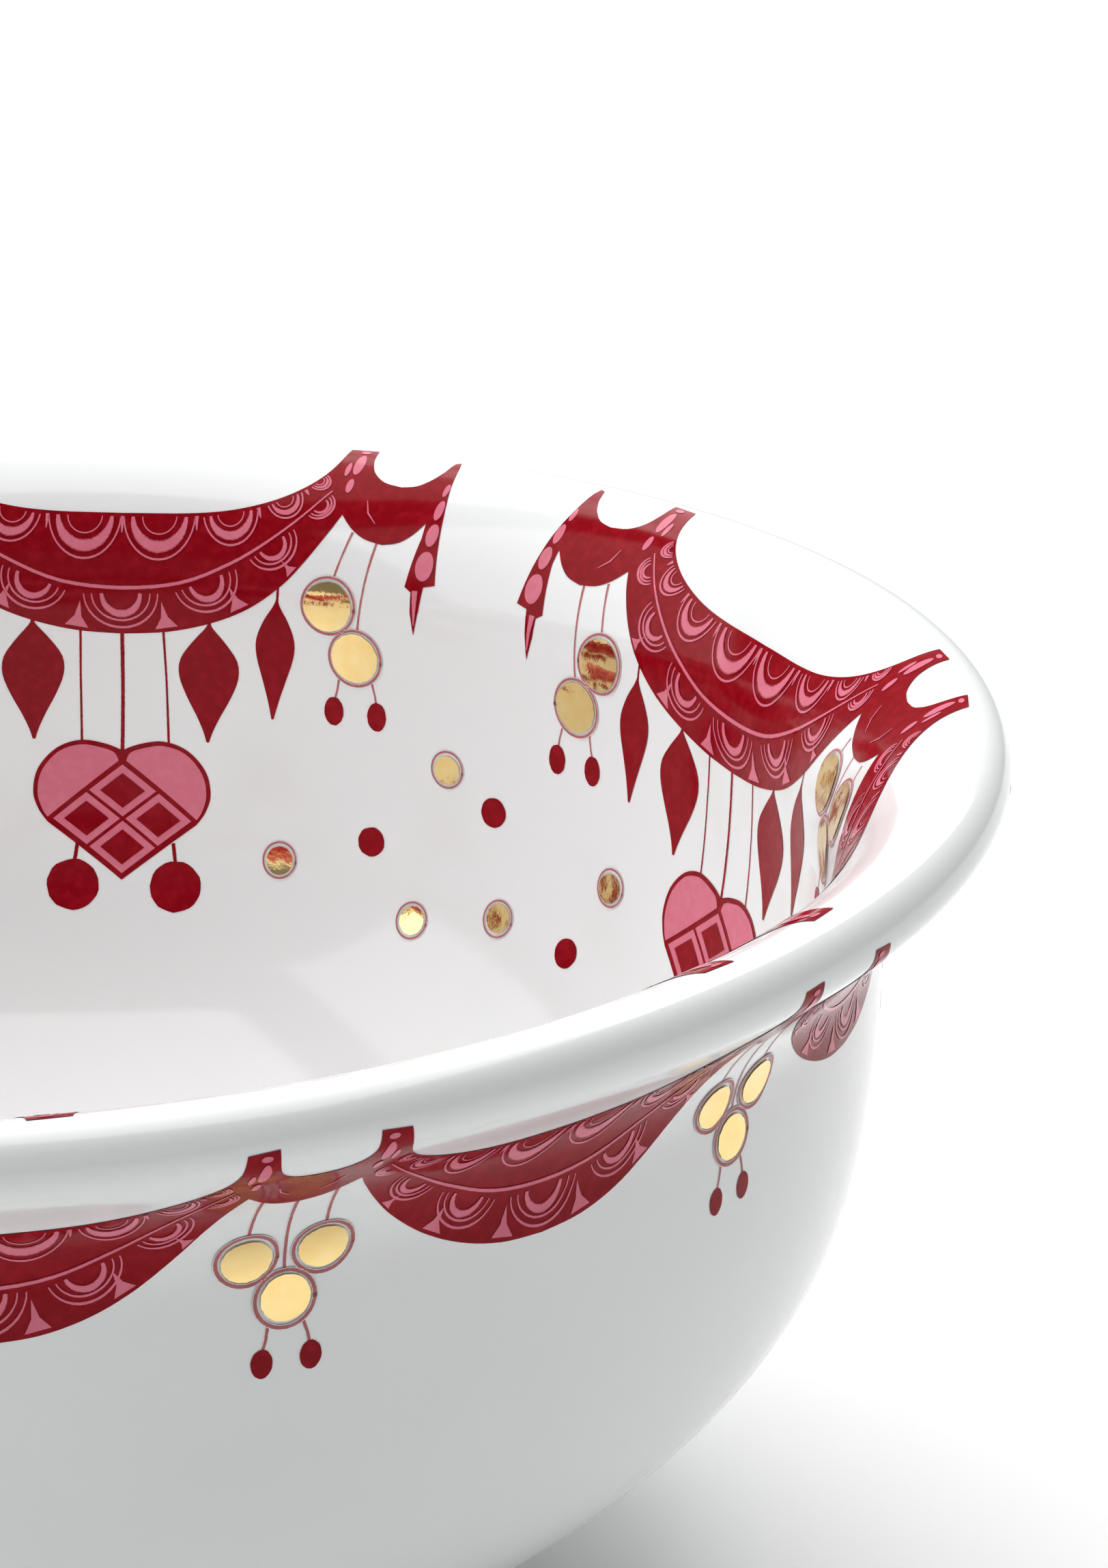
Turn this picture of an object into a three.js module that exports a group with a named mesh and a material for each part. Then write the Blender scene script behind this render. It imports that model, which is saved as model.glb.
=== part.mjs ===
// Glazed porcelain bowl with a rolled, flared lip and fired-on gilt spots.
// Millimetres, +Z up. The origin is the middle of the foot ring's resting face.

import * as THREE from 'three';

// ---- Driving dimensions -------------------------------------------------

// Overall
const bowlDiameter = 150;        // over the rolled lip
const bowlHeight = 68;           // resting face to the top of the lip

// Lip and flare
const lipThickness = 4.6;        // the rolled edge
const lipUnderAngle = 42;        // how far the roll turns under, in degrees below level
const neckDiameter = 133;        // outside, where the wall stands upright below the flare
const outerFlareDepth = 14.3;    // lip top down to the upright wall, outside
const innerFlareDepth = 13.5;    // lip top down to the upright wall, inside

// Wall, floor and foot
const wallThickness = 3.9;       // at the neck
const floorThickness = 5;        // at the middle
const footDiameter = 68;         // outside, where the foot ring meets the belly
const footHeight = 4.7;
const footTaper = 1.2;           // how much the foot narrows in radius towards its face
const footFaceWidth = 3.2;       // the flat, unglazed ring that it rests on
const footInnerSlope = 1.6;      // how much the foot's inner side leans, in radius
const footRecess = 3;            // underside above the resting face

// Gilt
const giltThickness = 0.4;
const giltClearance = 0.3;       // gap to the glaze below
const outerSpotDiameter = 3.9;
const innerSpotDiameter = 5.2;
const dotDiameter = 3.4;

// Layout round the bowl. Turns are degrees from +X, and depths are measured along the
// surface from the top of the lip.
const outerTrioCount = 12;
const outerTrioTurn = -66;
const outerTrioDepth = 18.5;
const innerSwagCount = 8;
const innerSwagPitch = 42.7;     // from one swag's middle to the next, which leaves one wider gap
const innerGapTurn = 55.4;       // the middle of that gap
const innerTrioDepth = 15.2;
const pairFromSwag = 18.6;       // a pair's turn from the middle of the swag beside the gap
const pairDepth = 18.5;

// Gilt dots strewn in the gap: turn from the gap's middle, and depth.
const gapDots = [
  [2.1, 29.3],
  [16.9, 39.8],
  [3.7, 43.1],
  [-4.8, 41.0],
  [-16.1, 35.0],
];

// How finely round shapes are divided
const turnSteps = 64;
const clusterSteps = 24;
const dotSteps = 12;

// ---- Derived sizes ------------------------------------------------------

const lipRadius = lipThickness / 2;
const lipCentre = at(bowlDiameter / 2 - lipRadius, bowlHeight - lipRadius);
const outerNeck = at(neckDiameter / 2, bowlHeight - outerFlareDepth);
const innerNeck = at(neckDiameter / 2 - wallThickness, bowlHeight - innerFlareDepth);
const footTop = at(footDiameter / 2, footHeight);
const innerFloor = at(0, footRecess + floorThickness);
const swagGap = 360 - (innerSwagCount - 1) * innerSwagPitch;

// ---- Profile curves, as (radius, height) --------------------------------

function at(x, y) {
  return new THREE.Vector2(x, y);
}

function lipArc(fromDegrees, toDegrees, steps) {
  return Array.from({ length: steps + 1 }, (_, i) => {
    const angle = THREE.MathUtils.degToRad(THREE.MathUtils.lerp(fromDegrees, toDegrees, i / steps));
    return at(Math.cos(angle), Math.sin(angle)).multiplyScalar(lipRadius).add(lipCentre);
  });
}

function curve(start, startHandle, endHandle, end, steps) {
  return new THREE.CubicBezierCurve(start, startHandle, endHandle, end).getPoints(steps);
}

function joinRuns(...runs) {
  return runs.flatMap((run, i) => (i === 0 ? run : run.slice(1)));
}

// From the top of the lip, round the roll and down the cove and the belly to the foot.
function outerSurface() {
  const roll = lipArc(90, -lipUnderAngle, 6);
  const under = roll.at(-1);
  const step = under.x - outerNeck.x;
  const rise = under.y - outerNeck.y;
  const cove = curve(
    under,
    at(under.x - step * 0.28, under.y - rise * 0.235),
    at(outerNeck.x + step * 0.076, outerNeck.y + rise * 0.535),
    outerNeck,
    5,
  );
  const drop = outerNeck.y - footTop.y;
  const spread = outerNeck.x - footTop.x;
  const belly = curve(
    outerNeck,
    at(outerNeck.x, outerNeck.y - drop * 0.502),
    at(outerNeck.x - spread * 0.058, outerNeck.y - drop * 0.602),
    footTop,
    14,
  );
  return joinRuns(roll, cove, belly);
}

// From the top of the lip, down the flare and the wall to the middle of the floor.
function innerSurface() {
  const roll = lipArc(90, 100, 1);
  const brow = roll.at(-1);
  const flare = curve(
    brow,
    at(THREE.MathUtils.lerp(brow.x, innerNeck.x, 0.29), brow.y - innerFlareDepth * 0.03),
    at(innerNeck.x, innerNeck.y + innerFlareDepth * 0.63),
    innerNeck,
    8,
  );
  const drop = innerNeck.y - innerFloor.y;
  const wall = curve(
    innerNeck,
    at(innerNeck.x, innerNeck.y - drop * 0.527),
    at(innerNeck.x * 0.935, innerFloor.y),
    innerFloor,
    14,
  );
  return joinRuns(roll, flare, wall);
}

// From the outside of the resting face to the middle of the underside.
function footSurface() {
  const faceOuter = footTop.x - footTaper;
  const faceInner = faceOuter - footFaceWidth;
  return [
    at(faceOuter, 0),
    at(faceInner, 0),
    at(faceInner - footInnerSlope, footRecess),
    at(0, footRecess),
  ];
}

// ---- The body, turned about +Z ------------------------------------------

function makeBowlBody() {
  const innerUpwards = innerSurface().reverse();
  const section = [...joinRuns(innerUpwards, outerSurface()), ...footSurface()];
  const geometry = new THREE.LatheGeometry(section.reverse(), turnSteps);
  return geometry.rotateX(Math.PI / 2);
}

// ---- Gilt that follows the wall -----------------------------------------

// Gives the (radius, height) of a place at some depth along a surface, lifted off it.
// side is 1 outside the bowl and -1 inside.
function wallGuide(points, side) {
  const depths = [0];
  for (let i = 1; i < points.length; i += 1) {
    depths.push(depths[i - 1] + points[i].distanceTo(points[i - 1]));
  }
  return (depth, lift) => {
    let i = 1;
    while (i < points.length - 1 && depths[i] < depth) {
      i += 1;
    }
    const along = points[i].clone().sub(points[i - 1]).normalize();
    const off = at(-along.y, along.x).multiplyScalar(side * lift);
    return points[i - 1].clone().addScaledVector(along, depth - depths[i - 1]).add(off);
  };
}

// Three discs that touch, two above one.
function trioDiscs(radius) {
  const rise = radius * 0.55;
  return [at(-radius * 1.2, -rise), at(radius * 1.2, -rise), at(0, rise + radius * 0.5)];
}

// Two discs that touch, on a slant that leans with the sign of lean.
function pairDiscs(radius, lean) {
  const half = at(lean * radius * 0.5, radius * 0.85);
  return [half.clone().negate(), half];
}

// The outline round such a group, as seen from the group's middle.
function groupOutline(discs, radius, steps) {
  const waist = radius * 0.6;
  return Array.from({ length: steps }, (_, i) => {
    const angle = (2 * Math.PI * i) / steps;
    const ray = at(Math.cos(angle), Math.sin(angle));
    const reaches = discs.map((disc) => {
      const miss = Math.abs(ray.cross(disc));
      return miss < radius ? ray.dot(disc) + Math.sqrt(radius ** 2 - miss ** 2) : 0;
    });
    return ray.multiplyScalar(Math.max(waist, ...reaches));
  });
}

// A thin solid with that outline, bent to the wall. In an outline, x runs round the bowl
// and y runs down the wall. Each face is a middle point with rings of points round it, so
// that it follows the wall closely.
function makeGilt(guide, outline, turn, depth) {
  const middle = THREE.MathUtils.degToRad(turn);
  const ringShares = [0.5, 1];
  const rings = ringShares.map((share) => outline.map((point) => point.clone().multiplyScalar(share)));
  const face = [at(0, 0), ...rings.flat()];
  const positions = [];
  for (const lift of [giltClearance, giltClearance + giltThickness]) {
    for (const point of face) {
      const radius = guide(depth + point.y, 0).x;
      const place = guide(depth + point.y, lift);
      const angle = middle + point.x / radius;
      positions.push(place.x * Math.cos(angle), place.x * Math.sin(angle), place.y);
    }
  }
  const count = outline.length;
  const top = face.length;
  const faces = [];
  for (let i = 0; i < count; i += 1) {
    const inA = 1 + i;
    const inB = 1 + ((i + 1) % count);
    const outA = inA + count;
    const outB = inB + count;
    for (const [a, b, c] of [[0, inA, inB], [inA, outA, outB], [inA, outB, inB]]) {
      faces.push(a, b, c);
      faces.push(top + a, top + c, top + b);
    }
    faces.push(outA, top + outA, outB);
    faces.push(outB, top + outA, top + outB);
  }
  const geometry = new THREE.BufferGeometry();
  geometry.setAttribute('position', new THREE.Float32BufferAttribute(positions, 3));
  geometry.setIndex(faces);
  return facingOut(geometry);
}

// Six times the volume that a closed surface holds, negative if its faces point in.
function signedVolume(geometry) {
  const position = geometry.getAttribute('position');
  const [a, b, c] = [new THREE.Vector3(), new THREE.Vector3(), new THREE.Vector3()];
  let volume = 0;
  for (let i = 0; i < geometry.index.count; i += 3) {
    a.fromBufferAttribute(position, geometry.index.getX(i));
    b.fromBufferAttribute(position, geometry.index.getX(i + 1));
    c.fromBufferAttribute(position, geometry.index.getX(i + 2));
    volume += a.dot(b.cross(c));
  }
  return volume;
}

function facingOut(geometry) {
  if (signedVolume(geometry) < 0) {
    geometry.index.array.reverse();
  }
  return geometry;
}

// ---- Materials ----------------------------------------------------------

const whiteGlaze = new THREE.MeshStandardMaterial({ color: '#f2f1ef', roughness: 0.1, metalness: 0 });
const brightGold = new THREE.MeshStandardMaterial({ color: '#eab54c', roughness: 0.15, metalness: 1 });

// ---- The bowl and its gilding -------------------------------------------

const bowl = new THREE.Group();

function add(name, geometry, material) {
  const mesh = new THREE.Mesh(geometry, material);
  mesh.name = name;
  bowl.add(mesh);
}

const outside = wallGuide(outerSurface(), 1);
const inside = wallGuide(innerSurface(), -1);

add('bowl_body', makeBowlBody(), whiteGlaze);

// Outside, a trio hangs between every two swags.
const outerRadius = outerSpotDiameter / 2;
const outerTrio = groupOutline(trioDiscs(outerRadius), outerRadius, clusterSteps);
for (let i = 0; i < outerTrioCount; i += 1) {
  const turn = outerTrioTurn + (i * 360) / outerTrioCount;
  add(`outer_gilt_trio_${i + 1}`, makeGilt(outside, outerTrio, turn, outerTrioDepth), brightGold);
}

// Inside too, apart from the wider gap, which has a slanted pair at each side.
const innerRadius = innerSpotDiameter / 2;
const innerTrio = groupOutline(trioDiscs(innerRadius), innerRadius, clusterSteps);
for (let i = 0; i < innerSwagCount - 1; i += 1) {
  const turn = innerGapTurn + swagGap / 2 + (i + 0.5) * innerSwagPitch;
  add(`inner_gilt_trio_${i + 1}`, makeGilt(inside, innerTrio, turn, innerTrioDepth), brightGold);
}
for (const side of [1, -1]) {
  const name = side > 0 ? 'inner_gilt_pair_left' : 'inner_gilt_pair_right';
  const pair = groupOutline(pairDiscs(innerRadius, -side), innerRadius, clusterSteps);
  const turn = innerGapTurn + side * (swagGap / 2 - pairFromSwag);
  add(name, makeGilt(inside, pair, turn, pairDepth), brightGold);
}

// Single dots strewn in the gap.
const dotRadius = dotDiameter / 2;
const dotOutline = groupOutline([at(0, 0)], dotRadius, dotSteps);
gapDots.forEach(([turn, depth], i) => {
  const geometry = makeGilt(inside, dotOutline, innerGapTurn + turn, depth);
  add(`inner_gilt_dot_${i + 1}`, geometry, brightGold);
});

export default bowl;
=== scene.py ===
# %% [markdown]
# # A printed and gilded porcelain bowl
# The bowl is one piece of white porcelain, turned round one axis: a rolled lip, a flare, a
# round belly and a foot ring. Under its clear glaze lies a red and pink print of swags, hearts
# and drops, and spots of bright gold are fired on last. This lesson builds the body by
# spinning a section, and lays the print and the gold on it as thin shapes that follow the wall.

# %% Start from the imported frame
import bisect
import math
import random

import bmesh
import bpy
from mathutils import Matrix, Vector
from mathutils.geometry import interpolate_bezier


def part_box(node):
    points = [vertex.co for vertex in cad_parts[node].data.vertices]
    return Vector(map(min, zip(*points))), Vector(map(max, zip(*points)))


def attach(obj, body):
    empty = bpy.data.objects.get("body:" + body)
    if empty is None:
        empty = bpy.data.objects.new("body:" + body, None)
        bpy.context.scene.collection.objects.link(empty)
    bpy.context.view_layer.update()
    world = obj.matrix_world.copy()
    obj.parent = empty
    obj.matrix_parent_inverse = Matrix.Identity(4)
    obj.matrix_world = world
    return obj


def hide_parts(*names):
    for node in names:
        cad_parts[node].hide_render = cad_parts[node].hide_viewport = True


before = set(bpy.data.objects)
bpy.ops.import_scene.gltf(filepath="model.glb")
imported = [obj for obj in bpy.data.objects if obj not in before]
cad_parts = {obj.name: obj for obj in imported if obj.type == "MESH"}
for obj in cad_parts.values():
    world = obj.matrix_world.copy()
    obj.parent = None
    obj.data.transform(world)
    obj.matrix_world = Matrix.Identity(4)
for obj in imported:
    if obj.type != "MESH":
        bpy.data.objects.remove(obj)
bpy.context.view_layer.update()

MM = 0.001

# %% [markdown]
# ## The bowl's two surfaces
# Everything on this bowl follows one of two curves: the outside, from the top of the lip down
# to the foot, and the inside, from the top of the lip down to the middle of the floor. They
# could be traced by hand for every shape, but then a swag would float or sink. So each curve
# is made once, as arcs and Bezier pieces, and is kept with its length, so that any shape can
# be placed by a turn round the axis and a depth along the curve.

# %% Sizes of the body, in millimetres
lip_roll = 2.3
flare_out = 14.3
flare_in = 13.5
neck_out = 66.5
wall = 3.9
floor_level = 8.0
foot_reach = 34.0
foot_height = 4.7
foot_taper = 1.2
foot_face = 3.2
foot_lean = 1.6
recess = 3.0

# The lip's roll, as turns in degrees from level: its top, how far it turns under outside, and
# where the flare leaves it inside
roll_top, roll_under, roll_brow = 90, -42, 100

# Handles of the Bezier pieces, as shares of each piece's width and drop
cove_start, cove_end = (0.28, 0.235), (0.076, 0.535)
belly_start, belly_end = 0.502, (0.058, 0.602)
flare_start, flare_end = (0.29, 0.03), 0.63
side_start, side_end = 0.527, 0.935

low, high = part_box("bowl_body")
height = (high.z - low.z) / MM
lip_reach = (high.x - low.x) / 2 / MM
lip_middle = Vector((lip_reach - lip_roll, height - lip_roll))
print("bowl", round(2 * lip_reach, 2), "mm across,", round(height, 2), "mm high")

# %% Curves as lists of (radius, height)
def arc(middle, radius, start, end, steps):
    turns = [math.radians(start + (end - start) * i / steps) for i in range(steps + 1)]
    return [middle + radius * Vector((math.cos(t), math.sin(t))) for t in turns]


def bezier(start, start_handle, end_handle, end, steps):
    points = [Vector((*p, 0)) for p in (start, start_handle, end_handle, end)]
    return [Vector(p[:2]) for p in interpolate_bezier(*points, steps + 1)]


def outside_curve():
    roll = arc(lip_middle, lip_roll, roll_top, roll_under, 26)
    under = roll[-1]
    neck = Vector((neck_out, height - flare_out))
    step, rise = under.x - neck.x, under.y - neck.y
    cove = bezier(under, (under.x - cove_start[0] * step, under.y - cove_start[1] * rise),
                  (neck.x + cove_end[0] * step, neck.y + cove_end[1] * rise), neck, 20)
    drop, spread = neck.y - foot_height, neck.x - foot_reach
    belly = bezier(neck, (neck.x, neck.y - belly_start * drop),
                   (neck.x - belly_end[0] * spread, neck.y - belly_end[1] * drop),
                   (foot_reach, foot_height), 44)
    return roll + cove[1:] + belly[1:]


def inside_curve():
    roll = arc(lip_middle, lip_roll, roll_top, roll_brow, 3)
    brow = roll[-1]
    neck = Vector((neck_out - wall, height - flare_in))
    step = brow.x - neck.x
    flare = bezier(brow, (brow.x - flare_start[0] * step, brow.y - flare_start[1] * flare_in),
                   (neck.x, neck.y + flare_end * flare_in), neck, 24)
    drop = neck.y - floor_level
    side = bezier(neck, (neck.x, neck.y - side_start * drop), (side_end * neck.x, floor_level),
                  (0, floor_level), 48)
    return roll + flare[1:] + side[1:]


# %% Places on a surface
class Surface:
    """A curve of the bowl, with the way that leads off its glaze."""

    def __init__(self, points, side):
        self.points = points
        self.side = side
        self.depths = [0.0]
        for before, after in zip(points, points[1:]):
            self.depths.append(self.depths[-1] + (after - before).length)

    def at(self, depth):
        """(radius, height) at a depth, and the direction off the glaze there."""
        last = len(self.points) - 2
        i = min(max(bisect.bisect_left(self.depths, depth) - 1, 0), last)
        run = self.depths[i + 1] - self.depths[i]
        share = (depth - self.depths[i]) / run
        point = self.points[i].lerp(self.points[i + 1], share)
        here = self.points[i + 1] - self.points[i]
        nearby = min(i + 1, last) if share > 0.5 else max(i - 1, 0)
        beside = self.points[nearby + 1] - self.points[nearby]
        along = here.normalized().lerp(beside.normalized(), abs(share - 0.5))
        off = self.side * Vector((-along.y, along.x)).normalized()
        return point, off


outside = Surface(outside_curve(), 1)
inside = Surface(inside_curve(), -1)
lengths = [round(surface.depths[-1], 1) for surface in (outside, inside)]
print("outside and inside run", lengths, "mm")

# %% [markdown]
# ## Shader maths
# A finish is a small network of nodes. Written node by node it is long and hard to follow, so
# one class wraps a socket and lets plain Python expressions add the Math nodes, and one
# method makes every other kind of node.

# %% A wrapped socket and a node maker
class Value:
    """A socket in a finish, which takes part in Python expressions."""

    def __init__(self, finish, socket):
        self.finish = finish
        self.socket = socket

    def math(self, operation, *others):
        values = {i: other for i, other in enumerate((self, *others))}
        return self.finish.node("ShaderNodeMath", {"operation": operation}, values)

    def __add__(self, other):
        return self.math("ADD", other)

    def __sub__(self, other):
        return self.math("SUBTRACT", other)

    def __rsub__(self, other):
        return self.finish.node("ShaderNodeMath", {"operation": "SUBTRACT"}, {0: other, 1: self})

    def __mul__(self, other):
        return self.math("MULTIPLY", other)

    __radd__ = __add__
    __rmul__ = __mul__

    def smooth(self, start, end):
        """0 below start, 1 above end, and a soft step between them."""
        ends = {"From Min": start, "From Max": end, "Value": self}
        return self.finish.node("ShaderNodeMapRange", {"interpolation_type": "SMOOTHSTEP"}, ends)


class Finish:
    """A material with its nodes."""

    def __init__(self, name):
        self.material = bpy.data.materials.new(name)
        self.material.use_nodes = True
        self.tree = self.material.node_tree
        self.shader = self.tree.nodes["Principled BSDF"]
        self.place = self.node("ShaderNodeTexCoord", {}, {}, "Object")

    def node(self, kind, settings, sockets, output=0):
        node = self.tree.nodes.new(kind)
        for name, value in settings.items():
            setattr(node, name, value)
        self.feed(node, sockets)
        return Value(self, node.outputs[output])

    def feed(self, node, sockets):
        for name, value in sockets.items():
            if isinstance(value, Value):
                self.tree.links.new(value.socket, node.inputs[name])
            else:
                node.inputs[name].default_value = value

    def noise(self, size, detail=2.0):
        """Soft noise from 0 to 1 whose lumps are about that many metres wide."""
        sockets = {"Vector": self.place, "Scale": 1 / size, "Detail": detail}
        return self.node("ShaderNodeTexNoise", {}, sockets, "Fac")

    def mix(self, share, first, second):
        colours = [c if isinstance(c, Value) else (*c, 1.0) for c in (first, second)]
        settings = {"data_type": "RGBA"}
        return self.node("ShaderNodeMix", settings, {0: share, 6: colours[0], 7: colours[1]}, 2)

    def bump(self, height, distance):
        """height from 0 to 1 stands for that many metres."""
        sockets = {"Height": height, "Distance": distance, "Strength": 1.0}
        return self.node("ShaderNodeBump", {}, sockets)


# %% [markdown]
# ## White glaze
# Porcelain glaze is a clear glass about a tenth of a millimetre thick over a white body. It is
# never quite flat: it settled while molten, so reflections swim a little over lumps some
# millimetres wide, and now and then a speck or pinhole stays. One flat white would look like
# plastic, so the colour drifts slightly and the shine comes from a low roughness and a bump.

# %% The glaze's surface, shared by white and print
porcelain_light = (0.916, 0.936, 0.936)
porcelain_deep = (0.894, 0.914, 0.915)
speck_grey = (0.42, 0.39, 0.36)
speck_cells = 55.0
clear_shine = 0.5
glaze_swim = 0.00005


def glaze_white(finish):
    """The white of the body, with its slow drift and rare specks."""
    drift = finish.noise(0.03, 3.0)
    white = finish.mix(drift.smooth(0.35, 0.65), porcelain_deep, porcelain_light)
    sockets = {"Vector": finish.place, "Scale": speck_cells}
    cells = finish.node("ShaderNodeTexVoronoi", {"feature": "F1"}, sockets, "Distance")
    speck = 1 - cells.smooth(0.004, 0.011)
    return finish.mix(speck * 0.7, white, speck_grey)


def glaze_skin(finish, colour, shine=clear_shine):
    """Wires a colour into the glossy, slightly uneven surface of the glaze."""
    swim = finish.noise(0.011, 1.5)
    ripple = finish.noise(0.0016, 2.0)
    gloss = 0.08 + 0.05 * finish.noise(0.006, 3.0)
    normal = finish.bump(swim + 0.05 * ripple, glaze_swim)
    sockets = {"Base Color": colour, "Roughness": gloss, "Normal": normal, "IOR": 1.5}
    sockets["Specular IOR Level"] = shine
    finish.feed(finish.shader, sockets)
    return finish.material


def make_white_glaze():
    finish = Finish("white_glaze")
    return glaze_skin(finish, glaze_white(finish))


white_glaze = make_white_glaze()
print("made", white_glaze.name)

# %% [markdown]
# ## Bare porcelain
# The face that the bowl stands on is wiped clean before firing, so that it doesn't stick to the
# kiln shelf. It is dry and faintly grey-cream, with a fine sanded tooth.

# %% Biscuit
biscuit_deep = (0.70, 0.68, 0.64)
biscuit_light = (0.80, 0.78, 0.75)
biscuit_tooth = 0.00004


def make_biscuit():
    finish = Finish("bare_porcelain")
    grain = finish.noise(0.0004, 4.0)
    sockets = {
        "Base Color": finish.mix(finish.noise(0.004, 4.0), biscuit_deep, biscuit_light),
        "Roughness": 0.7 + 0.2 * grain,
        "Normal": finish.bump(grain, biscuit_tooth),
    }
    finish.feed(finish.shader, sockets)
    return finish.material


bare_porcelain = make_biscuit()
print("made", bare_porcelain.name)

# %% [markdown]
# ## Print under the glaze
# The red and pink are printed through a fine mesh and sink into the glaze as it melts. So the
# colour's edge is soft and a little jagged, a solid patch is slightly mottled, and the
# surface over it is as smooth as the white, though it mirrors less, which keeps the reds deep.
# Each shape below carries a value called ink, 0 at its rim and 1 inside. The finish turns it
# into colour, with the mesh's grain on the threshold.

# %% Inks
red = (0.26, 0.0015, 0.007)
red_thin = (0.46, 0.012, 0.026)
pink = (0.72, 0.185, 0.262)
pink_thin = (0.80, 0.27, 0.34)
ring_rose = (0.46, 0.15, 0.15)
ring_rose_thin = (0.62, 0.30, 0.29)
print_shine = 0.10
grain_bite = 0.7
bare_ink, full_ink = 0.12, 0.88
mottle_share = 0.35


def make_print(name, full, thin, ground):
    """Ink that is full or thin in places, on a ground that shows through at its rim."""
    finish = Finish(name)
    ink = finish.node("ShaderNodeAttribute", {"attribute_name": "ink"}, {}, "Fac")
    mesh_grain = finish.noise(0.00022, 2.0)
    mottle = finish.noise(0.0009, 3.0)
    cover = (ink + grain_bite * (mesh_grain - 0.5)).smooth(bare_ink, full_ink)
    colour = finish.mix(mottle_share * mottle.smooth(0.4, 0.75), full, thin)
    under = glaze_white(finish) if ground is None else ground
    return glaze_skin(finish, finish.mix(cover, under, colour), print_shine)


red_print = make_print("red_print", red, red_thin, None)
pink_print = make_print("pink_print", pink, pink_thin, red)
rose_print = make_print("rose_print", ring_rose, ring_rose_thin, None)
print("made", red_print.name, pink_print.name, rose_print.name)

# %% [markdown]
# ## Bright gold
# Liquid gold is brushed or printed on the finished glaze and fired low. It is a mirror that
# follows the glaze, with fine ridges left by the mesh and a ragged edge. A metal with a low
# roughness gives the mirror, and a faint bump breaks its reflections.

# %% Gold
gold_deep = (0.97, 0.64, 0.22)
gold_light = (1.0, 0.82, 0.42)
gold_ridge = 0.00004


def make_gold():
    finish = Finish("bright_gold")
    cloud = finish.noise(0.0015, 3.0)
    ridges = finish.noise(0.00035, 2.0)
    swim = finish.noise(0.0024, 1.0)
    sockets = {
        "Base Color": finish.mix(cloud, gold_deep, gold_light),
        "Metallic": 1.0,
        "Roughness": 0.03 + 0.07 * ridges,
        "Normal": finish.bump(swim + 0.1 * ridges, gold_ridge),
    }
    finish.feed(finish.shader, sockets)
    return finish.material


bright_gold = make_gold()
print("made", bright_gold.name)

# %% [markdown]
# ## The body
# A thrown or pressed bowl is a solid of revolution. It could be built from rings of faces by
# hand, but spinning its section is what the potter's wheel does, and gives clean rows of faces
# that catch the light evenly. The foot's corners are softened afterwards with a bevel.

# %% Spin the section
turn_steps = 384
corner_round = 0.7
bare_below = 0.25


def body_section():
    face_out = foot_reach - foot_taper
    face_in = face_out - foot_face
    foot = [(face_out, 0), (face_in, 0), (face_in - foot_lean, recess), (0, recess)]
    up = [Vector(p) for p in reversed(foot)] + outside.points[::-1]
    return up + inside.points[1:]


def finished(name, bm, materials):
    """Makes an object of a bmesh, which rides on the bowl."""
    mesh = bpy.data.meshes.new(name)
    bm.to_mesh(mesh)
    bm.free()
    for material in materials:
        mesh.materials.append(material)
    mesh.shade_smooth()
    piece = bpy.data.objects.new(name, mesh)
    bpy.context.scene.collection.objects.link(piece)
    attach(piece, "root")
    return piece


def make_body():
    bm = bmesh.new()
    row = [bm.verts.new((p.x * MM, 0, p.y * MM)) for p in body_section()]
    edges = [bm.edges.new(pair) for pair in zip(row, row[1:])]
    bmesh.ops.spin(bm, geom=row + edges, axis=(0, 0, 1), cent=(0, 0, 0), angle=2 * math.pi,
                   steps=turn_steps, use_merge=True)
    bmesh.ops.remove_doubles(bm, verts=bm.verts, dist=1e-6)
    bmesh.ops.recalc_face_normals(bm, faces=bm.faces)
    corners = [e for e in bm.edges if max(v.co.z for v in e.verts) < 1e-6
               and len(e.link_faces) == 2 and e.calc_face_angle() > 0.5]
    bmesh.ops.bevel(bm, geom=corners, offset=corner_round * MM, segments=5, profile=0.5, affect="EDGES",
                    material=-1)
    for face in bm.faces:
        if face.calc_center_median().z < bare_below * MM:
            face.material_index = 1
    return finished("bowl_body_glazed", bm, [white_glaze, bare_porcelain])


body = make_body()
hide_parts("bowl_body")
print("body", len(body.data.polygons), "faces")

# %% [markdown]
# ## Drawing flat, then laying on
# The print could be a picture wrapped on the bowl, but shapes cut from thin film stay sharp at
# any distance. Each motif is drawn once on a flat sheet in millimetres, x to the right and y
# down from the lip. A filled outline gets a narrow inset rim for the soft edge, and a line is a
# grid bent along its path. The sheet is then cut along a fine grid, so that it can bend, and is
# laid on the wall at each place where the motif is repeated. Strings lie lowest, then the red
# shapes, the pink lines, the marks on those, and gold on top, each a hair above the last.

# %% The drawing sheet
soft_edge = 0.17
line_rails = 4
cut_across, cut_down = 1.5, 0.75
string_lift, base_lift, detail_lift, mark_lift, gold_lift = 0.02, 0.045, 0.08, 0.115, 0.15
print_materials = [red_print, pink_print, rose_print, bright_gold]
RED, PINK, ROSE, GOLD = range(4)


def smooth_path(points, steps=6):
    """A smooth curve through chosen points."""
    points = [Vector(p) for p in points]
    path = [points[0]]
    for i in range(len(points) - 1):
        before = points[max(i - 1, 0)]
        after = points[min(i + 2, len(points) - 1)]
        reach_in = (points[i + 1] - before) / 6
        reach_out = (after - points[i]) / 6
        piece = bezier(points[i], points[i] + reach_in, points[i + 1] - reach_out, points[i + 1], steps)
        path += piece[1:]
    return path


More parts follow.
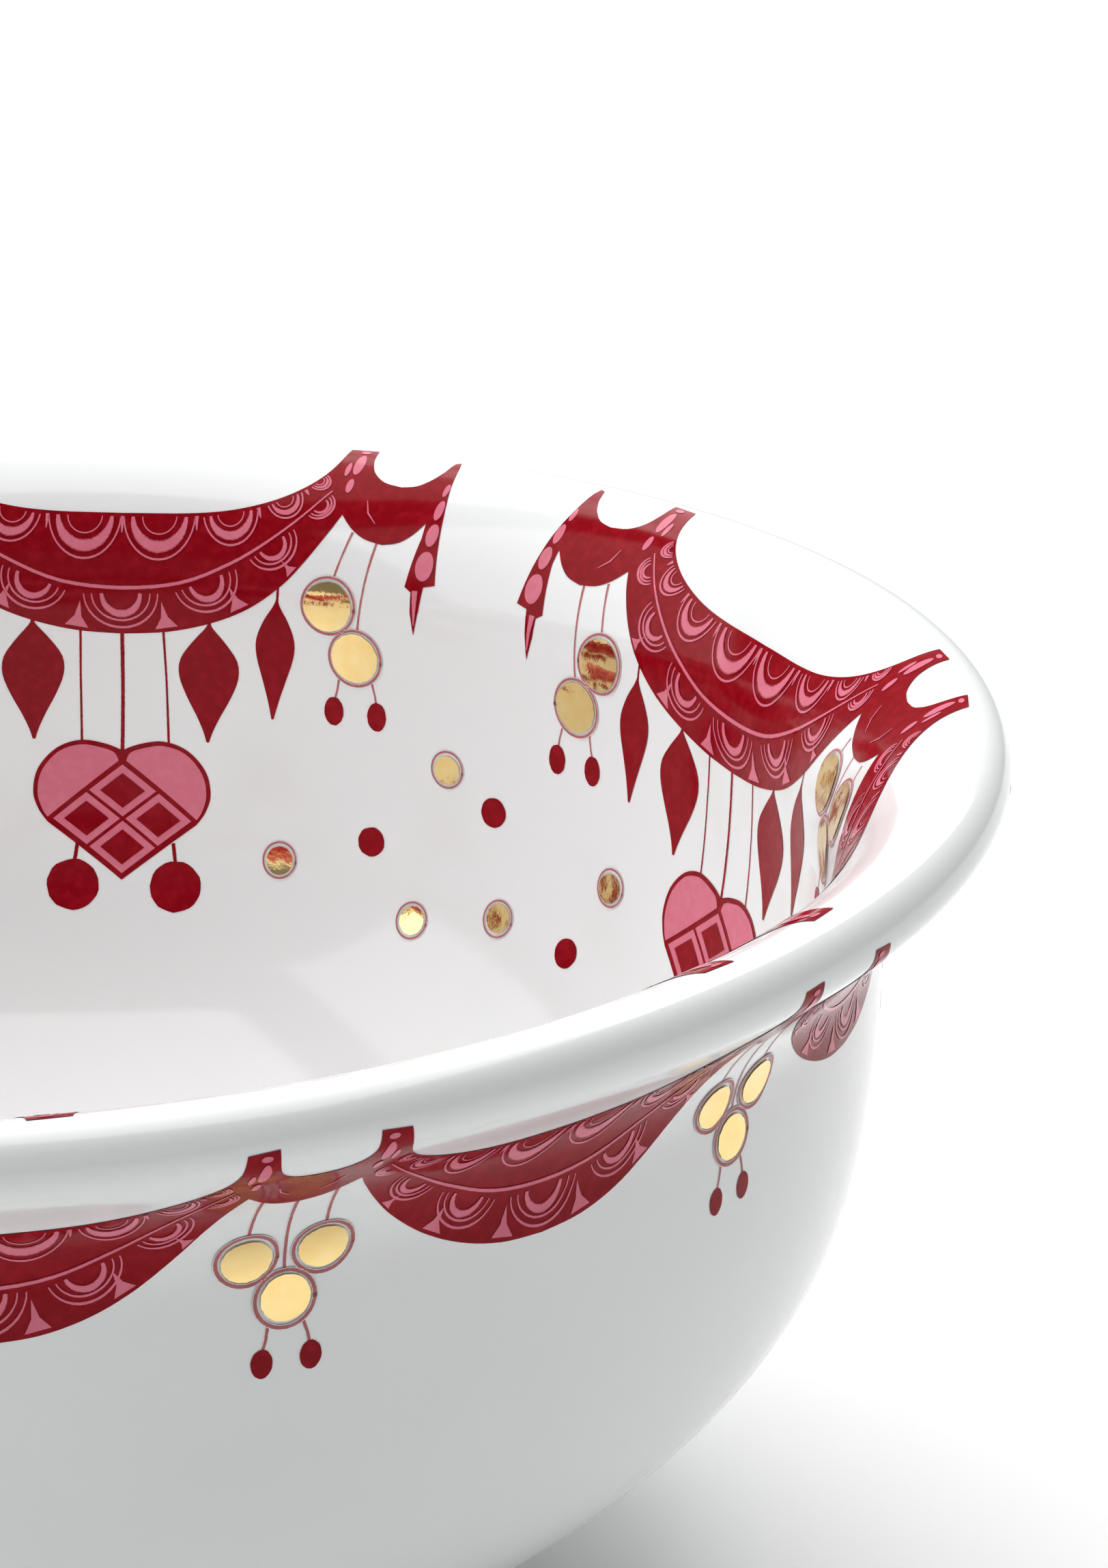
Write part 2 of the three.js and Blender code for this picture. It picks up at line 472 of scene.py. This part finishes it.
def ellipse(x, y, across, down, steps=28, ragged=0.0, seed=0):
    """Points round an oval. A ragged one strays by that share of its size."""
    chance = random.Random(seed)
    points = []
    for i in range(steps):
        turn = 2 * math.pi * i / steps
        reach = 1 + ragged * (chance.random() - 0.5)
        points.append((x + across * reach * math.cos(turn), y + down * reach * math.sin(turn)))
    return points


class Sheet:
    """A flat drawing of thin film shapes. z is each shape's lift off the glaze."""

    def __init__(self):
        self.bm = bmesh.new()
        self.ink = self.bm.verts.layers.float.new("ink")

    def paint(self, faces, colour):
        for face in faces:
            face.normal_update()
            face.material_index = colour
            face.smooth = True
            if face.normal.z < 0:
                face.normal_flip()

    def fill(self, outline, colour, lift, edge=soft_edge, joins=()):
        """A filled shape. joins are x values where it meets its neighbour with no soft edge."""
        verts = [self.bm.verts.new((x, y, lift)) for x, y in outline]
        edges = [self.bm.edges.new(pair) for pair in zip(verts, verts[1:] + verts[:1])]
        face = bmesh.ops.edgeloop_fill(self.bm, edges=edges)["faces"][0]
        rim = bmesh.ops.inset_region(self.bm, faces=[face], thickness=edge, use_even_offset=True)
        for vert in face.verts:
            vert[self.ink] = 1.0
        for ring in rim["faces"]:
            for vert in ring.verts:
                if any(abs(vert.co.x - x) < 1e-4 for x in joins):
                    vert[self.ink] = 1.0
        self.paint([face, *rim["faces"]], colour)

    def line(self, path, widths, colour, lift):
        """A stroke along a path. widths are one width, or several from start to end."""
        path = [Vector(p) for p in path]
        widths = [widths] if isinstance(widths, (int, float)) else list(widths)
        last = len(path) - 1
        grid = bmesh.ops.create_grid(self.bm, x_segments=last, y_segments=line_rails - 1, size=0.5)
        for vert in grid["verts"]:
            i = round((vert.co.x + 0.5) * last)
            rail = vert.co.y * 2
            before, after = path[max(i - 1, 0)], path[min(i + 1, last)]
            along = (after - before).normalized()
            place = i / last * (len(widths) - 1)
            lower = min(int(place), max(len(widths) - 2, 0))
            upper = min(lower + 1, len(widths) - 1)
            width = widths[lower] + (widths[upper] - widths[lower]) * (place - lower)
            inner = abs(rail) < 0.9
            share = 0.5 if inner else 1.0
            across = Vector((-along.y, along.x)) * width / 2 * share * (1 if rail > 0 else -1)
            vert.co = (*(path[i] + across), lift)
            vert[self.ink] = 1.0 if inner else 0.0
        faces = {face for vert in grid["verts"] for face in vert.link_faces}
        self.paint(faces, colour)

    def blob(self, x, y, across, down, colour, lift, **shape):
        self.fill(ellipse(x, y, across, down, **shape), colour, lift, min(soft_edge, 0.3 * across))

    def cut(self):
        """Cuts the sheet along a grid, finer down the wall, where the lip curves tightly."""
        bmesh.ops.triangulate(self.bm, faces=[face for face in self.bm.faces if len(face.verts) > 4])
        for axis, spacing in enumerate((cut_across, cut_down)):
            values = [vert.co[axis] for vert in self.bm.verts]
            normal = Vector((axis == 0, axis == 1, 0))
            step = math.floor(min(values) / spacing) + 1
            while step * spacing < max(values):
                everything = self.bm.verts[:] + self.bm.edges[:] + self.bm.faces[:]
                bmesh.ops.bisect_plane(self.bm, geom=everything, dist=1e-5,
                                       plane_co=normal * step * spacing, plane_no=normal)
                step += 1
        return self

    def lay(self, name, surface, turn, stretch=(1.0, 1.0), shift=0.0, mirror=1,
            body_slot="red_print"):
        """Lays a copy on a surface of the bowl, with its x = 0 at that turn in degrees."""
        bm = self.bm.copy()
        girth = neck_out if surface is outside else neck_out - wall
        normals = []
        for vert in bm.verts:
            across = vert.co.x * stretch[0] * mirror
            point, off = surface.at(vert.co.y * stretch[1] + shift)
            angle = math.radians(turn) + surface.side * across / girth
            spot = point + off * vert.co.z
            direction = Vector((math.cos(angle), math.sin(angle)))
            vert.co = (*(direction * spot.x * MM), spot.y * MM)
            normals.append((*(direction * off.x), off.y))
        if mirror > 0:
            bmesh.ops.reverse_faces(bm, faces=bm.faces)
        piece = finished(name, bm, print_materials)
        piece.data.normals_split_custom_set_from_vertices(normals)
        return piece


print("sheet ready")

# %% [markdown]
# ## Swags
# A swag is a hanging band between two posts, filled with two rows of scallops on either side
# of a light rib, with a small plain crescent between it and the next swag. One unit, from the
# middle of a crescent to the middle of the next, repeats round the bowl, so its ends get no
# soft edge. The scallops are strokes along half ellipses that hang from the band's own lines,
# with light wedges in the notches between them.

# %% Outline of one unit, as its right half
band_top = [(0, 9.25), (5.5, 9.1), (9.6, 8.5), (13.1, 7.2), (15.6, 5.4), (17.0, 3.3), (17.6, 0.6)]
post_outside = [(19.8, 0.45), (19.95, 2.0), (20.5, 3.4), (21.7, 4.4)]
band_bottom = [(19.05, 8.1), (18.2, 9.9), (16.6, 12.5), (14.6, 14.9), (11.6, 17.2), (8.1, 18.8),
               (4.1, 19.8), (0, 20.1)]
rib_line = [(0, 15.9), (5.3, 15.3), (9.7, 13.4), (12.9, 11.2), (15.6, 8.6), (17.6, 5.9)]
crescent_top, crescent_bottom = 4.7, 10.4
inner_pitch = 42.7
half_unit = math.radians(inner_pitch / 2) * (neck_out - wall)


def mirrored(points):
    return [(-x, y) for x, y in reversed(points)]


def unit_outline():
    top = [tuple(p) for p in smooth_path(band_top, 5)]
    post = [tuple(p) for p in smooth_path([*post_outside, (half_unit, crescent_top)], 4)]
    crescent = smooth_path([(half_unit, crescent_bottom), (21.6, 10.1), (20.2, 9.3), (19.05, 8.1)], 4)
    bottom = smooth_path(band_bottom, 5)
    half = top + post + [tuple(p) for p in crescent[:-1]] + [tuple(p) for p in bottom]
    return half[:-1] + mirrored(half[1:])


def height_on(line, x):
    """y of a drawn line at x, and its slope as an angle."""
    path = smooth_path([*mirrored(line[1:]), *line])
    i = next(k for k in range(len(path) - 1) if path[k + 1].x >= x)
    run = path[i + 1] - path[i]
    return path[i].y + run.y * (x - path[i].x) / run.x, math.atan2(run.y, run.x)


# %% Scallops
def half_ellipse(x, y, tilt, half_width, depth, steps=18):
    """A hanging U, turned by tilt."""
    turned = Matrix.Rotation(tilt, 2)
    points = []
    for i in range(steps + 1):
        turn = math.pi * i / steps
        place = Vector((half_width * math.cos(turn), depth * math.sin(turn)))
        points.append(Vector((x, y)) + turned @ place)
    return points


def upper_scallop(sheet, x, size):
    """A plump crescent round a dark half disc, between two fine lines."""
    y, tilt = height_on(band_top, x)
    y += 0.3
    thick = [0.12 * size, 0.36 * size, 0.46 * size, 0.36 * size, 0.12 * size]
    sheet.line(half_ellipse(x, y, tilt, 0.78 * size, 0.92 * size), thick, PINK, detail_lift)
    inner_line = half_ellipse(x, y, tilt, 0.50 * size, 0.54 * size)
    sheet.line(inner_line, [0.12, 0.17, 0.12], PINK, detail_lift)
    outer_line = half_ellipse(x, y, tilt, 1.04 * size, 1.30 * size)
    sheet.line(outer_line, [0.16, 0.26, 0.16], PINK, detail_lift)


def lower_scallop(sheet, x, size, drop=0.55):
    """A dark half disc that hangs from the rib, in a thick arc and two fine ones."""
    y, tilt = height_on(rib_line, x)
    y += drop
    thick = [0.12 * size, 0.22 * size, 0.26 * size, 0.22 * size, 0.12 * size]
    sheet.line(half_ellipse(x, y, tilt, 0.52 * size, 0.56 * size), thick, PINK, detail_lift)
    for share, width in ((1.0, 0.28), (0.79, 0.24)):
        arc_line = half_ellipse(x, y, tilt, share * size, share * size * 0.94)
        sheet.line(arc_line, [0.14, width, width, 0.14], PINK, detail_lift)


def fillet(sheet, x, half_width):
    """A small light wedge with hollow sides that stands on the lower edge between two scallops."""
    foot, tilt = height_on(list(reversed(band_bottom)), x)
    along = Vector((math.cos(tilt), math.sin(tilt)))
    rise = Vector((along.y, -along.x)) * 2.3 * half_width
    base = Vector((x, foot)) + 0.16 * rise
    left, right, top = base - along * half_width, base + along * half_width, base + rise
    waist = 0.3 * along * half_width
    belt = base + 0.4 * rise
    sheet.fill([left, right, belt + waist, top, belt - waist], PINK, detail_lift, edge=0.08)


def wedge(sheet, x, size):
    """A light sliver in the notch between two upper scallops."""
    y, tilt = height_on(band_top, x)
    down = Vector((-math.sin(tilt), math.cos(tilt)))
    start = Vector((x, y)) + 0.3 * down
    path = [start, start + 0.5 * size * down, start + size * down]
    sheet.line(path, [0.42, 0.3, 0.1], PINK, detail_lift)


def swag_sheet():
    sheet = Sheet()
    sheet.fill(unit_outline(), RED, base_lift, joins=(half_unit, -half_unit))
    rib = smooth_path([*mirrored(rib_line[1:]), *rib_line], 4)
    sheet.line(rib, [0.16, 0.34, 0.42, 0.34, 0.16], PINK, detail_lift)
    for side in (-1, 1):
        for x, size in ((3.2, 2.95), (9.3, 2.25), (13.7, 1.45), (16.2, 0.8)):
            upper_scallop(sheet, side * x, size)
        for x, size in ((7.6, 2.9), (13.3, 2.3), (16.9, 1.3)):
            lower_scallop(sheet, side * x, size)
        for x, half_width in ((4.1, 1.05), (10.9, 0.95), (15.6, 0.6)):
            fillet(sheet, side * x, half_width)
        for x, size in ((6.35, 1.3), (11.5, 1.0), (15.1, 0.6)):
            wedge(sheet, side * x, size)
        sheet.blob(side * 18.95, 2.7, 0.42, 1.25, PINK, detail_lift)
        sheet.blob(side * 18.2, 3.4, 0.22, 0.8, PINK, detail_lift)
        sheet.blob(side * 18.9, 5.2, 0.3, 0.75, PINK, detail_lift)
        sheet.blob(side * 18.9, 1.0, 0.4, 0.22, PINK, detail_lift)
        sheet.line([(side * 22.2, 8.6), (side * 21.3, 7.7), (side * 20.9, 6.5)], [0.1, 0.2, 0.1],
                   PINK, detail_lift)
    wedge(sheet, 0.0, 1.5)
    lower_scallop(sheet, 0.0, 3.3, 0.5)
    return sheet.cut()


swag = swag_sheet()
print("swag drawn with", len(swag.bm.faces), "faces")

# %% [markdown]
# ## Hearts, drops and strings
# Under each inside swag hang a heart on three strings, two wide drops and two narrow ones. The
# heart is drawn solid red first. Its light lobes and the borders of its lattice go on top, and
# dark diamonds on top of those, the order in which a printer lays down inks.

# %% Heart
heart_middle = -0.3
lattice_middle = 37.05
lattice_half = (6.7, 5.1)
pink_share, dark_share = 0.462, 0.31
heart_half = [(0, 30.85), (1.6, 30.25), (3.8, 29.95), (6.0, 30.7), (7.7, 32.5), (8.2, 34.6),
              (7.75, 36.2), (6.95, 37.35), (3.5, 39.95), (0, 42.55)]
lobe_half = [(0.35, 31.8), (0.75, 31.05), (2.0, 30.6), (3.8, 30.35), (5.8, 31.0), (7.35, 32.7),
             (7.8, 34.6), (7.45, 36.1), (6.95, 36.9)]


def diamond(x, y, across, down):
    return [(x + across, y), (x, y + down), (x - across, y), (x, y - down)]


def heart_on(sheet, x):
    rim = [tuple(p) for p in smooth_path(heart_half[:8], 5)] + heart_half[8:]
    outline = rim[:-1] + mirrored(rim[1:])
    sheet.fill([(x + px, py) for px, py in outline], RED, base_lift)
    across, down = lattice_half
    for side in (-1, 1):
        curve = smooth_path(lobe_half, 4)
        sheet.fill([(x + side * px, py) for px, py in curve], PINK, detail_lift, edge=0.1)
    for i in (0, 1):
        for k in (0, 1):
            cx = x + (i - k) * across / 2
            cy = lattice_middle + (i + k - 1) * down / 2
            border = diamond(cx, cy, across * pink_share, down * pink_share)
            sheet.fill(border, PINK, detail_lift, edge=0.1)
            core = diamond(cx, cy, across * dark_share, down * dark_share)
            sheet.fill(core, RED, mark_lift, edge=0.1)


# %% Drops and balls
wide_drop = [(0, 18.6), (0.35, 19.3), (1.5, 20.6), (2.6, 22.2), (2.72, 23.8), (2.05, 25.6),
             (1.1, 27.4), (0.45, 28.8), (0.12, 29.8)]
narrow_drop = [(0, 15.9), (0.3, 16.8), (1.15, 18.2), (1.78, 19.9), (1.72, 21.5), (1.1, 23.6),
               (0.55, 25.4), (0.1, 27.2)]


def drop_on(sheet, x, shape, lean):
    right = [tuple(p) for p in smooth_path(shape, 3)]
    outline = right + mirrored(right[1:])
    top = shape[0][1]
    sheet.fill([(x + px + lean * (py - top), py) for px, py in outline], RED, base_lift)


def ball_on(sheet, x, y, across, down, seed=0):
    sheet.blob(x, y, across, down, RED, base_lift, ragged=0.04, seed=seed)


def pendant_sheet():
    sheet = Sheet()
    heart_on(sheet, heart_middle)
    for side in (-1, 1):
        drop_on(sheet, side * 7.9, wide_drop, -0.03)
        drop_on(sheet, side * 14.2, narrow_drop, -0.05)
        stalks = [([(14.25, 15.1), (14.2, 16.6)], [0.3, 0.34]), ([(7.9, 18.5), (7.9, 19.2)], [0.45, 0.5]),
                  ([(3.7, 19.6), (3.85, 24.0), (3.95, 30.3)], [0.32, 0.27, 0.32]),
                  ([(4.5, 39.1), (4.85, 41.2)], [0.5, 0.5])]
        for path, widths in stalks:
            sheet.line([(side * x, y) for x, y in path], widths, RED, string_lift)
        ball_on(sheet, side * 4.95, 43.0, 2.5, 2.3, seed=side + 2)
    sheet.line([(0, 19.8), (-0.1, 25.0), (heart_middle, 31.2)], [0.5, 0.46, 0.5], RED, string_lift)
    return sheet.cut()


pendant = pendant_sheet()
print("heart and drops drawn with", len(pendant.bm.faces), "faces")

# %% [markdown]
# ## Gold spots and their rings
# Each gold spot sits in a printed ring with a rim of bare glaze between them, never quite in
# the middle. A ring is a closed line. A spot is a slightly ragged disc on top, so its edge
# catches light as the real film does. Trios hang under the crescents, slanted pairs beside the
# wider gap.

# %% Rings, spots and hanging balls
inner_spot, outer_spot, dot_spot = 2.6, 1.95, 1.7
gold_share_inner, gold_share_outer, gold_share_dot = 0.86, 0.79, 0.76
inner_trio_depth, outer_trio_depth, pair_depth = 15.2, 18.5, 18.5
ring_inset, ring_width, dot_ring_width = 0.1, 0.34, 0.26
string_stroke = [0.34, 0.26, 0.3]
gold_seeds = {"outer": 40, "inner": 90, "pair": 130, "dot": 150}


def ring_on(sheet, x, y, radius, width=ring_width):
    path = ellipse(x, y, radius, radius, steps=40)
    sheet.line([*path, path[0], path[1]], width, ROSE, detail_lift)


def hanging(sheet, start, end, size, seed):
    """A string with a small oval ball at its end."""
    middle = ((start[0] + end[0]) / 2 + 0.06, (start[1] + end[1]) / 2)
    sheet.line([start, middle, end], [0.3, 0.26, 0.32], ROSE, string_lift)
    ball_on(sheet, end[0], end[1] + size * 0.6, size * 0.72, size, seed)


def trio_places(radius):
    rise = radius * 0.55
    return [(-radius * 1.2, -rise), (radius * 1.2, -rise), (0, rise + radius * 0.5)]


def trio_rings(depth, radius, string_top, ball_drop, ball_size):
    """Rings, strings and balls of a trio whose middle is at that depth."""
    sheet = Sheet()
    for x, y in trio_places(radius):
        ring_on(sheet, x, depth + y, radius - ring_inset)
        top = (x * 0.92, string_top + (0.5 if x == 0 else 0))
        end = (x, depth + y - radius + ring_inset)
        middle = (x * 0.96, (string_top + depth + y - radius) / 2)
        sheet.line([top, middle, end], string_stroke, ROSE, string_lift)
    bottom = depth + trio_places(radius)[2][1]
    for side in (-1, 1):
        start = (side * radius * 0.55, bottom + radius * 0.8)
        hanging(sheet, start, (side * radius * 0.78, bottom + radius + ball_drop), ball_size, side + 5)
    return sheet.cut()


def gold_group(places, depth, radius, seed):
    sheet = Sheet()
    for i, (x, y) in enumerate(places):
        chance = random.Random(seed + i)
        stray = 0.05 * radius
        cx, cy = x + chance.uniform(-stray, stray), depth + y + chance.uniform(-stray, stray)
        outline = ellipse(cx, cy, radius, radius * 0.98, 44, 0.035, seed + i)
        sheet.fill(outline, GOLD, gold_lift, 0.08)
    return sheet.cut()


inner_trio = trio_rings(inner_trio_depth, inner_spot, 9.9, 1.7, 1.3)
outer_trio = trio_rings(outer_trio_depth, outer_spot, 11.4, 1.5, 0.95)
print("trios drawn")

# %% [markdown]
# ## The ends beside the gap
# Beside the wider gap a crescent ends in a horn with a ribbon's tail, and two gold spots hang
# on a slant under it. One sheet serves both sides, since the other end is its mirror image.

# %% Gap end, drawn for the right side of the gap's left swag
pair_from_swag = 18.6
pair_middle = math.radians(pair_from_swag) * (neck_out - wall)
pair_lean = (inner_spot * 0.5, inner_spot * 0.85)
pair_places = [(-pair_lean[0], -pair_lean[1]), pair_lean]
tail_outline = [(26.2, 2.3), (26.55, 0.95), (26.95, 0.75), (27.15, 1.5), (27.5, 4.0), (28.1, 7.0),
                (28.6, 10.0), (29.1, 13.2), (28.0, 13.5), (27.8, 15.5), (27.4, 17.8), (26.95, 15.8),
                (26.85, 14.1), (26.2, 13.7), (26.5, 11.5), (26.8, 9.3), (26.75, 7.9)]
tail_spots = [(27.3, 4.4, 0.24, 0.7), (27.5, 6.5, 0.38, 1.0), (27.7, 8.9, 0.55, 1.05),
              (27.75, 11.7, 0.85, 1.3)]


def gap_end_sheet():
    sheet = Sheet()
    top = smooth_path([(half_unit, crescent_top), (24.6, 4.35), (25.6, 3.4), (26.2, 2.3)], 4)
    bottom = smooth_path([(26.75, 7.9), (25.9, 9.1), (24.8, 10.0), (half_unit, crescent_bottom)], 4)
    outline = [tuple(p) for p in top[:-1]] + tail_outline[:-1] + [tuple(p) for p in bottom]
    sheet.fill(outline, RED, base_lift, joins=(half_unit,))
    for x, y, across, down in tail_spots:
        sheet.blob(x, y, across, down, PINK, detail_lift)
    sheet.line([(27.25, 13.9), (27.35, 15.2), (27.4, 16.9)], [0.75, 0.5, 0.15], PINK, detail_lift)
    for x, y in pair_places:
        ring_on(sheet, pair_middle + x, pair_depth + y, inner_spot - ring_inset)
    low_x, low_y = pair_middle + pair_lean[0], pair_depth + pair_lean[1]
    high_string = [(20.4, 9.6), (19.9, 11.6), (pair_middle - 1.0, pair_depth - 4.6)]
    low_string = [(22.8, 10.3), (22.3, 14.0), (low_x + 0.2, low_y - 2.4)]
    for string in (high_string, low_string):
        sheet.line(string, string_stroke, ROSE, string_lift)
    for side in (-1, 1):
        end = (low_x + side * 2.1, low_y + inner_spot + 1.7)
        hanging(sheet, (low_x + side * 1.6, low_y + 2.1), end, 1.3, side + 9)
    return sheet.cut()


gap_end = gap_end_sheet()
print("gap end drawn")

# %% [markdown]
# ## Where the pattern repeats
# Inside, eight swags stand at equal turns and leave one wider gap. Outside, twelve narrower
# ones close the ring. The outside sheet is the same drawing, squeezed and moved down onto the
# cove, so both stay one family.

# %% Lay the swags
inner_count = 8
gap_turn = 55.4
gap = 360 - (inner_count - 1) * inner_pitch
inner_turns = [gap_turn + gap / 2 + i * inner_pitch for i in range(inner_count)]

outer_count = 12
outer_first_trio = -66.0
outer_pitch = 360 / outer_count
outer_girth_share = math.radians(outer_pitch / 2) * neck_out / half_unit
outer_stretch = (outer_girth_share, 0.88)
outer_shift = 3.2
outer_turns = [outer_first_trio + (i + 0.5) * outer_pitch for i in range(outer_count)]

for i, turn in enumerate(inner_turns):
    swag.lay(f"inner_swag_{i + 1}", inside, turn)
for i, turn in enumerate(outer_turns):
    swag.lay(f"outer_swag_{i + 1}", outside, turn, outer_stretch, outer_shift)
print("laid", inner_count, "swags inside and", outer_count, "outside")

# %% Lay the hearts, the trios and the gap's ends
for i, turn in enumerate(inner_turns):
    pendant.lay(f"inner_heart_and_drops_{i + 1}", inside, turn)
for i in range(inner_count - 1):
    inner_trio.lay(f"inner_trio_rings_{i + 1}", inside, inner_turns[i] + inner_pitch / 2)
for i in range(outer_count):
    outer_trio.lay(f"outer_trio_rings_{i + 1}", outside, outer_first_trio + i * outer_pitch)
gap_end.lay("gap_end_left", inside, inner_turns[0])
gap_end.lay("gap_end_right", inside, inner_turns[-1], mirror=-1)
print("laid hearts, drops, rings and ribbon ends")

# %% [markdown]
# ## Gilding
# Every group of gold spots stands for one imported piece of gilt, so each gets its own object,
# with its own slight differences.

# %% Lay the gold
def gild(sheet, name, node, surface, turn, mirror=1):
    piece = sheet.lay(name, surface, turn, mirror=mirror, body_slot="bright_gold")
    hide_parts(node)


for i in range(outer_count):
    group = gold_group(trio_places(outer_spot), outer_trio_depth, outer_spot * gold_share_outer,
                       gold_seeds["outer"] + 3 * i)
    turn = outer_first_trio + i * outer_pitch
    gild(group, f"outer_gold_trio_{i + 1}", f"outer_gilt_trio_{i + 1}", outside, turn)
for i in range(inner_count - 1):
    group = gold_group(trio_places(inner_spot), inner_trio_depth, inner_spot * gold_share_inner,
                       gold_seeds["inner"] + 3 * i)
    turn = inner_turns[i] + inner_pitch / 2
    gild(group, f"inner_gold_trio_{i + 1}", f"inner_gilt_trio_{i + 1}", inside, turn)
for side, name in ((1, "left"), (-1, "right")):
    group = gold_group(pair_places, pair_depth, inner_spot * gold_share_inner, gold_seeds["pair"] + side)
    turn = gap_turn + side * (gap / 2 - pair_from_swag)
    gild(group, f"inner_gold_pair_{name}", f"inner_gilt_pair_{name}", inside, turn, mirror=side)
print("gilded", outer_count + inner_count - 1, "trios and 2 pairs")

# %% [markdown]
# ## Strewn dots
# The gap is filled with small dots, five of them gold in thin rings and three plain red.

# %% Dots
gold_dots = [(2.1, 29.3), (16.9, 39.8), (3.7, 43.1), (-4.8, 41.0), (-16.1, 35.0)]
red_dots = [(-2.7, 32.1), (8.7, 37.0), (-12.8, 41.8)]
red_dot_half = (1.35, 1.3)
for i, (turn, depth) in enumerate(gold_dots):
    ring = Sheet()
    ring_on(ring, 0, depth, dot_spot - ring_inset, dot_ring_width)
    ring.cut().lay(f"dot_ring_{i + 1}", inside, gap_turn + turn)
    group = gold_group([(0, 0)], depth, dot_spot * gold_share_dot, gold_seeds["dot"] + i)
    gild(group, f"inner_gold_dot_{i + 1}", f"inner_gilt_dot_{i + 1}", inside, gap_turn + turn)
for i, (turn, depth) in enumerate(red_dots):
    dot = Sheet()
    ball_on(dot, 0, depth, *red_dot_half, seed=i)
    dot.cut().lay(f"red_dot_{i + 1}", inside, gap_turn + turn)
print("strewn", len(gold_dots), "gold and", len(red_dots), "red dots")

# %% [markdown]
# ## Floor, light and camera
# The bowl stands on a white sweep. A big softbox overhead and a stronger one behind fill its
# mouth, a wide low one on the left shapes it, and a weak strip in front lifts the near side out
# of its shade. A long lens looks down at it.

# %% Floor
floor_half = 6.0
sweep_deep = (0.92, 0.92, 0.92)
sweep_light = (0.94, 0.94, 0.94)


def make_floor():
    bm = bmesh.new()
    bmesh.ops.create_grid(bm, x_segments=1, y_segments=1, size=floor_half)
    mesh = bpy.data.meshes.new("floor")
    bm.to_mesh(mesh)
    bm.free()
    floor = bpy.data.objects.new("floor", mesh)
    bpy.context.scene.collection.objects.link(floor)
    finish = Finish("white_sweep")
    shade = finish.mix(finish.noise(0.05, 3.0), sweep_deep, sweep_light)
    finish.feed(finish.shader, {"Base Color": shade, "Roughness": 0.6})
    mesh.materials.append(finish.material)


make_floor()

# %% Lights, in metres and watts, all aimed at the origin
room_level = 0.2


def softbox(name, place, size, power):
    data = bpy.data.lights.new(name, "AREA")
    data.shape = "RECTANGLE"
    data.size, data.size_y = size
    data.energy = power
    lamp = bpy.data.objects.new(name, data)
    bpy.context.scene.collection.objects.link(lamp)
    lamp.location = place
    lamp.rotation_euler = (-Vector(place)).to_track_quat("-Z", "Y").to_euler()


def light_room():
    """A dim pale room, so that nothing reflects black."""
    world = bpy.data.worlds.new("studio")
    world.use_nodes = True
    background = world.node_tree.nodes["Background"]
    background.inputs["Color"].default_value = (1, 1, 1, 1)
    background.inputs["Strength"].default_value = room_level
    bpy.context.scene.world = world


softbox("overhead", place=(0, 0.2, 1.0), size=(1.0, 1.0), power=7.2)
softbox("behind", place=(0, 0.9, 0.9), size=(1.2, 0.8), power=11.0)
softbox("left", place=(-0.95, 0.05, 0.6), size=(1.2, 0.9), power=5.8)
softbox("front", place=(0, -1.0, 0.4), size=(1.4, 0.3), power=0.35)
light_room()
print("lit with four softboxes and a room level of", room_level)
bpy.context.scene.view_settings.view_transform = "Standard"

# %% Camera
lens_length = 86.5
camera_right, camera_back, camera_over_lip = 0.04262, 0.25502, 0.08679
camera_dip = 20.13

camera_data = bpy.data.cameras.new("camera")
camera_data.lens = lens_length
camera = bpy.data.objects.new("camera", camera_data)
camera.location = (camera_right, -camera_back, high.z + camera_over_lip)
camera.rotation_euler = (math.radians(90 - camera_dip), 0, 0)
bpy.context.scene.collection.objects.link(camera)
bpy.context.scene.camera = camera
